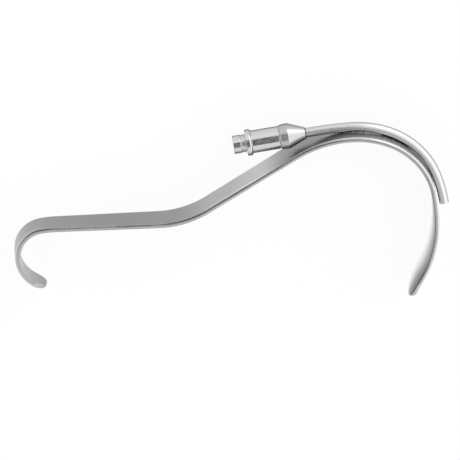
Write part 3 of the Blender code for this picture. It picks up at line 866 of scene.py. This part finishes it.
def post_reach(node):
    """Where a node on the post starts and ends along it, from the adapter's tip."""
    low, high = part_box(node)
    spots = [Vector((x, y, low.z)) for x in (low.x, high.x) for y in (low.y, high.y)]
    along = [(spot - POST_TIP).dot(POST_ALONG) for spot in spots]
    inset = (high.z - low.z) * abs(POST_ALONG.y)
    return min(along) + inset, max(along) - inset


def make_ferrule(guide, post):
    """The sleeve round the bundle's inlet, with the resin that holds the fibres in it."""
    low, high = post_reach("bundle_ferrule")
    outer = FERRULE_DIAMETER / 2
    bore = FERRULE_BORE / 2
    bundle = guide.bundle_diameter / 2
    corners = [(low, outer - FERRULE_BREAK), (low + FERRULE_BREAK, outer), (high, outer)]
    corners += [(high, bore), (low, bore)]
    shape = turned(corners, TUBE_SEGMENTS, edge_break=0.00004)
    material = polished_steel("ferrule_steel", post.steel, post.roughness)
    finished("inlet_ferrule", shape, on_post, material, "retractor",
             ["bundle_ferrule"])
    inner_end = low + POTTING_LENGTH
    corners = [(low, bore), (low, bundle), (inner_end, bundle), (inner_end, bore)]
    shape = turned(corners, TUBE_SEGMENTS, edge_break=0.00001)
    finished("inlet_resin", shape, on_post, amber_resin(guide), "retractor",
             ["input_potting"])


def make_outlet_resin(sizes, guide):
    line, bend = guide_place(sizes, guide)
    start = line.length - POTTING_LENGTH
    shape = straight_tube(guide.tube_bore, guide.bundle_diameter, start, line.length)
    slice_along(shape, line.stations(start, line.length))
    material = bpy.data.materials["amber_resin"]
    finished("outlet_resin", shape, bend, material, "retractor",
             ["outlet_potting"])


# A fibre's end: its facets, its radius against the pitch, its dome's width and how proud it stands
FIBRE_SIDES = 8
FIBRE_SHARE = 0.46
FIBRE_DOME = 0.86
FIBRE_PROUD = 0.00003
CORE_SEGMENTS = 48
CORE_INSET = 0.00005


def fibre_spots(radius, pitch):
    """Places on a honeycomb of fibres that fit in a round bundle."""
    rows = math.ceil(radius / pitch) + 1
    spots = []
    for row in range(-rows, rows + 1):
        for column in range(-rows, rows + 1):
            y = (column + 0.5 * (row % 2)) * pitch
            z = row * pitch * math.sqrt(3) / 2
            if math.hypot(y, z) < radius - pitch / 2:
                spots.append((y, z))
    return spots


def fibre_face(shape, place, outward, guide):
    """Short domed fibre ends standing a hair proud of the bundle's core."""
    across = Matrix.Rotation(math.pi / 2, 4, "Y")
    radius = guide.fibre_pitch * FIBRE_SHARE
    for y, z in fibre_spots(guide.bundle_diameter / 2, guide.fibre_pitch):
        spot = Matrix.Translation((place - outward * FIBRE_PROUD, y, z)) @ across
        made = bmesh.ops.create_cone(shape, cap_ends=True, segments=FIBRE_SIDES,
                                     depth=FIBRE_PROUD * 2, radius1=radius, radius2=radius,
                                     matrix=spot)
        rim = [vertex for vertex in made["verts"]
               if (vertex.co.x - spot.translation.x) * outward > 0]
        bmesh.ops.scale(shape, vec=(1.0, FIBRE_DOME, FIBRE_DOME), verts=rim,
                        space=Matrix.Translation((0, -y, -z)))


def make_bundle(sizes, guide):
    """The glass fibre bundle: a core along the guide, and a field of fibre ends on each face."""
    line, bend = guide_place(sizes, guide)
    begin = post_reach("bundle_ferrule")[0] - (CONE_START + CONE_LENGTH - TUBE_SOCKET_LENGTH)
    shape = bmesh.new()
    across = Matrix.Translation((begin + CORE_INSET, 0.0, 0.0)) @ Matrix.Rotation(math.pi / 2, 4, "Y")
    bmesh.ops.create_circle(shape, cap_ends=True, segments=CORE_SEGMENTS,
                            radius=guide.bundle_diameter / 2, matrix=across)
    extruded(shape, (line.length - begin - 2 * CORE_INSET, 0.0, 0.0))
    slice_along(shape, [0.0, *line.stations(0.0, line.length)])
    fibre_face(shape, begin + FIBRE_PROUD, -1.0, guide)
    fibre_face(shape, line.length - FIBRE_PROUD, 1.0, guide)
    finished("fibre_bundle_glass", shape, bend, fibre_glass(guide), "retractor",
             ["fibre_bundle"])


# Each seam's name, its start from the crown's and its length
BRAZE_SEAMS = (
    ("crown", -0.0032, 0.0168),
    ("blade", 0.0260, 0.0140),
)
# The fillet on the tube, in degrees up from its underside, and the hollow between tube and foot
BRAZE_ANGLES = (30.0, 38.0, 46.0, 54.0, 62.0)
BRAZE_HOLLOW = (0.25, 0.5, 0.75)
BRAZE_SAG = 0.00022
BRAZE_BITE = 0.00004
BRAZE_SINK = 0.00002
BRAZE_SLICES = 70
# Where a fillet stops narrowing, its least width and the limits of its height, all as shares
BRAZE_END = 0.02
BRAZE_LEAST_WIDTH = 0.15
BRAZE_HEIGHTS = (0.3, 1.05)
# Two frozen ripples as (height, change along, change up, offset between the two)
BRAZE_RIPPLES = ((1.0, 900.0, 500.0, 0.0), (0.5, 2600.0, 900.0, 5.0))
RIPPLE_SHARE = 0.12
# The ring at the cone as (place from the cone's end, rise from the tube), its waves and their fineness
CONE_BRAZE = ((-0.0001, 0.0), (-0.0001, 0.00035), (0.0002, 0.00028),
              (0.0003, 0.00012), (0.0004, 0.00003), (0.0004, 0.0))
CONE_BRAZE_WAVE = 0.10
CONE_BRAZE_FINENESS = 1400.0


def ripple_at(spot, seed):
    return sum(height * noise.noise(Vector((spot.x * along, spot.z * up, apart)) + seed)
               for height, along, up, apart in BRAZE_RIPPLES)


def make_braze_seam(sizes, guide, name, start, run, side, material):
    """A braze fillet in the corner between tube and strip, with frozen ripples."""
    strip = strip_line()
    shift = line_shift(strip, sizes)
    begin = strip.marks["crown"] + start
    radius = guide.tube_diameter / 2
    base = sizes.blade_thickness / 2
    axis = base + TUBE_SEAT_GAP + radius
    shape = bmesh.new()
    reach = radius - BRAZE_BITE
    section = []
    for turn in BRAZE_ANGLES:
        angle = math.radians(turn)
        section.append((reach * math.sin(angle), axis - reach * math.cos(angle)))
    outer, top = section[-1]
    foot = outer + guide.braze_width
    for part in BRAZE_HOLLOW:
        sag = BRAZE_SAG * math.sin(math.pi * part)
        section.append((outer + (foot - outer) * part - sag, top + (base - top) * part - sag / 2))
    root = section[0][0]
    section += [(foot, base - BRAZE_SINK), (root, base - BRAZE_SINK)]
    corners = [shape.verts.new((0.0, side * across, lift)) for across, lift in section]
    shape.faces.new(corners)
    extruded(shape, (run, 0.0, 0.0))
    slice_along(shape, [run * k / BRAZE_SLICES for k in range(1, BRAZE_SLICES)])
    seed = Vector((7.0 * len(name), 11.0 * side, 3.0))
    lowest, highest = BRAZE_HEIGHTS
    for vertex in shape.verts:
        part = min(max(vertex.co.x / run, BRAZE_END), 1 - BRAZE_END)
        grown = math.sqrt(math.sin(math.pi * part)) * (1.0 + RIPPLE_SHARE * ripple_at(vertex.co, seed))
        vertex.co.y = side * root + (vertex.co.y - side * root) * max(grown, BRAZE_LEAST_WIDTH)
        if vertex.co.z > base:
            vertex.co.z = base + (vertex.co.z - base) * min(max(grown, lowest), highest)
    lift = middle_of("light_guide_tube").z

    def bend(spot):
        return laid(strip, shift, begin + spot.x, spot.z, spot.y + lift)

    label = "upper" if side > 0 else "lower"
    finished(f"braze_{name}_{label}", shape, bend, material, "retractor",
             [f"braze_seam_{name}_{label}"])


def make_cone_braze(guide, material):
    """The thin ring of braze where the tube leaves the cone."""
    end = CONE_START + CONE_LENGTH
    inner = guide.tube_diameter / 2 - BRAZE_SINK
    corners = [(end + place, inner + rise) for place, rise in CONE_BRAZE]
    shape = turned(corners, TUBE_SEGMENTS, edge_break=0.00001)
    for vertex in shape.verts:
        wave = 1.0 + CONE_BRAZE_WAVE * noise.noise(vertex.co * CONE_BRAZE_FINENESS)
        if math.hypot(vertex.co.y, vertex.co.z) > inner + 2 * BRAZE_SINK:
            vertex.co.y *= wave
            vertex.co.z *= wave
    finished("braze_cone_ring", shape, on_post, material, "retractor",
             ["cone_braze_ring"])


# Where the camera stands: tilt from straight above toward the light guide's side, swing and roll
CAMERA_TILT = 23.0
CAMERA_SWING = -2.5
CAMERA_ROLL = 1.5885
# The sensor is in millimetres, and the clip range in metres
SENSOR_WIDTH = 36.0
CLIP_START = 0.1
CLIP_END = 50.0
# The picture's middle, from the hook's tip
AIM_FROM_HOOK = Vector((0.08159, 0.02162, 0.0))


def camera_axes():
    tilt = math.radians(CAMERA_TILT)
    swing = math.radians(CAMERA_SWING)
    roll = math.radians(CAMERA_ROLL)
    upward = math.cos(tilt)
    back = Vector((math.sin(swing) * upward, math.sin(tilt), math.cos(swing) * upward))
    level = Vector((math.cos(swing), 0.0, -math.sin(swing)))
    upright = back.cross(level)
    right = math.cos(roll) * level - math.sin(roll) * upright
    up = math.sin(roll) * level + math.cos(roll) * upright
    return right, up, back


def make_camera(settings, sizes):
    right, up, back = camera_axes()
    data = bpy.data.cameras.new("picture_camera")
    data.sensor_width = SENSOR_WIDTH
    data.lens = data.sensor_width * settings.camera_distance / settings.frame_width
    data.clip_start = CLIP_START
    data.clip_end = CLIP_END
    camera = linked("picture_camera", data)
    aim = line_shift(strip_line(), sizes) + AIM_FROM_HOOK
    turn = Matrix((right, up, back)).transposed().to_4x4()
    camera.matrix_world = Matrix.Translation(aim + back * settings.camera_distance) @ turn
    bpy.context.scene.camera = camera


def band(tree, value, low, high, soft):
    """One between low and high, falling smoothly to zero over a soft width at each end."""
    rise = ranged(tree, value, low - soft, low + soft, 0.0, 1.0)
    fall = ranged(tree, value, high - soft, high + soft, 1.0, 0.0)
    return times(tree, rise, fall)


# How far the dark opening's sides lean, so that they run across the light post
OPENING_SLANT = 0.133
# The tent's parts by direction: (from, to, soft width) for a band, (from, to) for an edge, and levels
OPENING_ACROSS = (-0.45, 0.045, 0.035)
OPENING_ALONG = (-0.37, 0.67, 0.03)
OPENING_FOOT = (0.0, 0.1)
OPENING_DEPTH = 0.93
WALL_RISE = (0.0, 0.9)
WALL_LEVEL = (1.0, 1.7)
CARD_EDGE = (0.64, 0.72)
CARD_HEIGHT = (0.02, 0.76, 0.05)
CARD_RISE = (0.18, 0.48)
CARD_LEVEL = (0.1, 2.5)


def make_world(settings):
    """A light tent: white walls, brighter to the right, with a dark opening overhead to the left
    and a bright card low behind the light guide's side."""
    world = bpy.data.worlds.new("light_tent")
    world.use_nodes = True
    bpy.context.scene.world = world
    tree = world.node_tree
    tree.nodes.clear()
    towards = add(tree, "ShaderNodeTexCoord").outputs["Generated"]
    x, y, z = add(tree, "ShaderNodeSeparateXYZ", {"Vector": towards}).outputs
    slant = number(tree, "MULTIPLY_ADD", y, OPENING_SLANT, x)
    opening = times(tree, band(tree, slant, *OPENING_ACROSS), band(tree, y, *OPENING_ALONG))
    opening = times(tree, opening, ranged(tree, z, *OPENING_FOOT))
    wall = ranged(tree, x, *WALL_RISE, *WALL_LEVEL)
    wall = times(tree, wall, number(tree, "MULTIPLY_ADD", opening, -OPENING_DEPTH, 1.0))
    card = times(tree, ranged(tree, y, *CARD_EDGE), band(tree, z, *CARD_HEIGHT))
    card = times(tree, card, ranged(tree, x, *CARD_RISE, *CARD_LEVEL))
    level = times(tree, number(tree, "ADD", card, wall), settings.tent_level)
    sockets = {"Color": (1.0, 1.0, 1.0, 1.0), "Strength": level}
    light = add(tree, "ShaderNodeBackground", sockets)
    add(tree, "ShaderNodeOutputWorld", {"Surface": light.outputs["Background"]})


def floor_white(settings):
    """Pale matt floor, lifted toward white for what the camera and the metal see of it."""
    material = bpy.data.materials.new("studio_floor_white")
    material.use_nodes = True
    tree = material.node_tree
    tree.nodes.clear()
    matt = add(tree, "ShaderNodeBsdfDiffuse", {"Color": (*settings.floor, 1.0)})
    white = add(tree, "ShaderNodeEmission", {"Color": (1.0, 1.0, 1.0, 1.0), "Strength": 1.0})
    path = add(tree, "ShaderNodeLightPath")
    seen = number(tree, "MAXIMUM", path.outputs["Is Camera Ray"], path.outputs["Is Glossy Ray"])
    seen = number(tree, "MAXIMUM", seen, path.outputs["Is Transmission Ray"])
    mix = add(tree, "ShaderNodeMixShader", {"Fac": times(tree, seen, settings.floor_lift)})
    tree.links.new(matt.outputs["BSDF"], mix.inputs[1])
    tree.links.new(white.outputs["Emission"], mix.inputs[2])
    add(tree, "ShaderNodeOutputMaterial", {"Surface": mix.outputs["Shader"]})
    return material


FLOOR_REACH = 15.0


def make_floor(settings):
    shape = bmesh.new()
    bmesh.ops.create_grid(shape, x_segments=4, y_segments=4, size=FLOOR_REACH)
    floor = meshed("studio_floor", shape, floor_white(settings))


class RETRACTOR_OT_strip(bpy.types.Operator):
    """Model the steel strip: finger hook, handle and blade"""
    bl_idname = "retractor.strip"
    bl_label = "Steel strip"

    def execute(self, context):
        make_strip(context.scene.retractor_strip)
        return {"FINISHED"}


class RETRACTOR_OT_guide(bpy.types.Operator):
    """Model the light guide: tube, fibre bundle and outlet resin"""
    bl_idname = "retractor.guide"
    bl_label = "Light guide"

    def execute(self, context):
        sizes = context.scene.retractor_strip
        guide = context.scene.retractor_guide
        make_tube(sizes, guide)
        make_bundle(sizes, guide)
        make_outlet_resin(sizes, guide)
        return {"FINISHED"}


class RETRACTOR_OT_post(bpy.types.Operator):
    """Model the light post: cone, adapter, threads, seal ring and ferrule"""
    bl_idname = "retractor.post"
    bl_label = "Light post"

    def execute(self, context):
        guide = context.scene.retractor_guide
        post = context.scene.retractor_post
        make_cone(post, guide)
        make_adapter(post)
        make_inner_thread(post)
        make_seal(post)
        make_ferrule(guide, post)
        return {"FINISHED"}


class RETRACTOR_OT_braze(bpy.types.Operator):
    """Model the braze: the seams along the tube and the ring at the cone"""
    bl_idname = "retractor.braze"
    bl_label = "Braze seams"

    def execute(self, context):
        sizes = context.scene.retractor_strip
        guide = context.scene.retractor_guide
        material = silver_braze(guide)
        for name, start, run in BRAZE_SEAMS:
            for side in (1.0, -1.0):
                make_braze_seam(sizes, guide, name, start, run, side, material)
        make_cone_braze(guide, material)
        return {"FINISHED"}


class RETRACTOR_OT_stage(bpy.types.Operator):
    """Set the stage: floor, light tent and camera"""
    bl_idname = "retractor.stage"
    bl_label = "Stage"

    def execute(self, context):
        settings = context.scene.retractor_stage
        make_floor(settings)
        make_world(settings)
        make_camera(settings, context.scene.retractor_strip)
        context.scene.view_settings.view_transform = "Standard"
        return {"FINISHED"}


class RETRACTOR_PT_panel(bpy.types.Panel):
    """Lists the pieces of the retractor and their sizes"""
    bl_idname = "RETRACTOR_PT_panel"
    bl_label = "Fiber Optic Retractor"
    bl_space_type = "VIEW_3D"
    bl_region_type = "UI"
    bl_category = "Retractor"

    def draw(self, context):
        for operator, settings in PANEL_ROWS:
            box = self.layout.box()
            box.operator(operator.bl_idname)
            if settings is None:
                continue
            group = getattr(context.scene, settings)
            for key in group.bl_rna.properties.keys():
                if key not in {"rna_type", "name"}:
                    box.prop(group, key)


PANEL_ROWS = (
    (RETRACTOR_OT_strip, "retractor_strip"),
    (RETRACTOR_OT_post, "retractor_post"),
    (RETRACTOR_OT_guide, "retractor_guide"),
    (RETRACTOR_OT_braze, None),
    (RETRACTOR_OT_stage, "retractor_stage"),
)
SETTINGS = (
    ("retractor_strip", StripSizes),
    ("retractor_guide", GuideSizes),
    ("retractor_post", PostSizes),
    ("retractor_stage", StageSettings),
)
CLASSES = (*(group for name, group in SETTINGS),
           *(operator for operator, settings in PANEL_ROWS),
           RETRACTOR_PT_panel)


def register():
    for item in CLASSES:
        bpy.utils.register_class(item)
    for name, group in SETTINGS:
        setattr(bpy.types.Scene, name, PointerProperty(type=group))


def unregister():
    for name, group in SETTINGS:
        delattr(bpy.types.Scene, name)
    for item in reversed(CLASSES):
        bpy.utils.unregister_class(item)


def main():
    register()
    bpy.ops.retractor.stage()
    bpy.ops.retractor.strip()
    bpy.ops.retractor.post()
    bpy.ops.retractor.guide()
    bpy.ops.retractor.braze()


if __name__ == "__main__":
    main()
